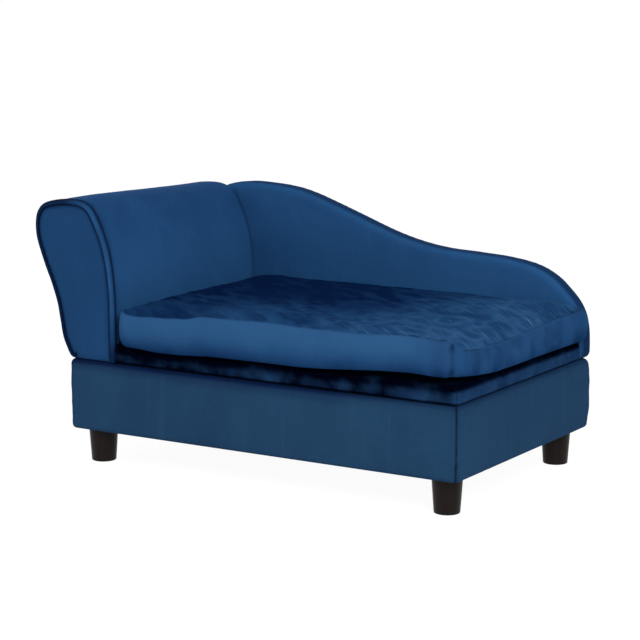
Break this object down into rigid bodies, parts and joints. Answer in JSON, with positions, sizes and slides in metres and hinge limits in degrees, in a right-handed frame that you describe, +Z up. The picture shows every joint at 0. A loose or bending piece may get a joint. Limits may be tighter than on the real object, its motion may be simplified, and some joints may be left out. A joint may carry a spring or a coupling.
{
  "type": "pet chaise with storage",
  "caption": "Small upholstered chaise bed for a pet: scrolled arm, swept back, hinged seat over a storage box, loose boxed cushion, tapered legs.",
  "frame": {"origin": "on the floor, under the middle of the whole object's bounding box", "axes": "+X along the length from the scrolled arm to the open end, +Y from the front to the back panel, +Z up"},
  "size_m": [0.7642, 0.4632, 0.4172],
  "materials": {
    "velvet": "navy blue short pile velvet",
    "lining": "black non-woven cloth",
    "foam": "cream polyurethane foam",
    "wood": "raw plywood",
    "leg": "black-brown satin lacquer",
    "zinc_steel": "zinc plated",
    "stay_steel": "black semi-gloss",
    "zip_tape": "navy polyester",
    "zip_metal": "navy lacquer"
  },
  "bodies": {
    "base": {"base_front_board": "wood", "base_rear_board": "wood", "base_left_board": "wood", "base_right_board": "wood", "base_floor_board": "wood", "carcass_screws": "zinc_steel", "base_cover": "velvet", "storage_lining": "lining", "base_dust_cover": "lining", "leg_front_left": "leg", "leg_front_right": "leg", "leg_rear_left": "leg", "leg_rear_right": "leg", "leg_bolts": "zinc_steel", "leg_tee_nuts": "zinc_steel", "hinge_base_leaf_left": "zinc_steel", "hinge_base_leaf_right": "zinc_steel", "hinge_pin_left": "zinc_steel", "hinge_pin_right": "zinc_steel", "hinge_base_screws": "zinc_steel", "stay_plate_left": "stay_steel", "stay_plate_right": "stay_steel", "stay_plate_screws": "zinc_steel"},
    "lid": {"deck_board": "wood", "deck_padding": "foam", "deck_cover": "velvet", "deck_liner": "lining", "lid_screws": "zinc_steel", "arm_front_board": "wood", "arm_rear_board": "wood", "arm_rails": "wood", "arm_padding": "foam", "arm_cover": "velvet", "arm_front_panel": "velvet", "arm_border": "velvet", "arm_rear_panel": "lining", "back_board": "wood", "back_padding": "foam", "back_cover": "velvet", "hinge_lid_leaf_left": "zinc_steel", "hinge_lid_leaf_right": "zinc_steel", "hinge_lid_screws": "zinc_steel", "stay_bracket_left": "stay_steel", "stay_bracket_right": "stay_steel", "stay_bracket_screws": "zinc_steel"},
    "left_stay_arm": {"stay_arm_left": "stay_steel"},
    "left_stay_link": {"stay_link_left": "stay_steel"},
    "right_stay_arm": {"stay_arm_right": "stay_steel"},
    "right_stay_link": {"stay_link_right": "stay_steel"},
    "cushion": {"cushion_cover": "velvet", "cushion_foam": "foam", "zip_tape": "zip_tape", "zip_coil": "zip_tape", "zip_stops": "zip_metal"},
    "zip_slide_body": {"zip_slider": "zip_metal"}
  },
  "joints": [
    {"name": "lid_hinge", "type": "hinge", "parent": "base", "child": "lid", "pos_m": [0.026, 0.22765, 0.1663], "axis": [-1, 0, 0], "range_deg": [0, 80]},
    {"name": "left_stay_arm_pivot", "type": "hinge", "parent": "base", "child": "left_stay_arm", "pos_m": [-0.29645, 0.18765, 0.1013], "axis": [-1, 0, 0], "range_deg": [0, 80]},
    {"name": "left_stay_elbow", "type": "hinge", "parent": "left_stay_arm", "child": "left_stay_link", "pos_m": [-0.29645, 0.05765, 0.0933], "axis": [-1, 0, 0], "range_deg": [-80, 0]},
    {"name": "right_stay_arm_pivot", "type": "hinge", "parent": "base", "child": "right_stay_arm", "pos_m": [0.34845, 0.18765, 0.1013], "axis": [-1, 0, 0], "range_deg": [0, 80]},
    {"name": "right_stay_elbow", "type": "hinge", "parent": "right_stay_arm", "child": "right_stay_link", "pos_m": [0.34845, 0.05765, 0.0933], "axis": [-1, 0, 0], "range_deg": [-80, 0]},
    {"name": "cushion_lift", "type": "slide", "parent": "lid", "child": "cushion", "axis": [0, 0, 1], "range_m": [0, 0.25]},
    {"name": "zip_slide", "type": "slide", "parent": "cushion", "child": "zip_slide_body", "axis": [1, 0, 0], "range_m": [0, 0.3814]}
  ],
  "couplings": [
    {"joint": "left_stay_arm_pivot", "follows": "lid_hinge", "ratio": 1},
    {"joint": "left_stay_elbow", "follows": "lid_hinge", "ratio": -1},
    {"joint": "right_stay_arm_pivot", "follows": "lid_hinge", "ratio": 1},
    {"joint": "right_stay_elbow", "follows": "lid_hinge", "ratio": -1}
  ]
}
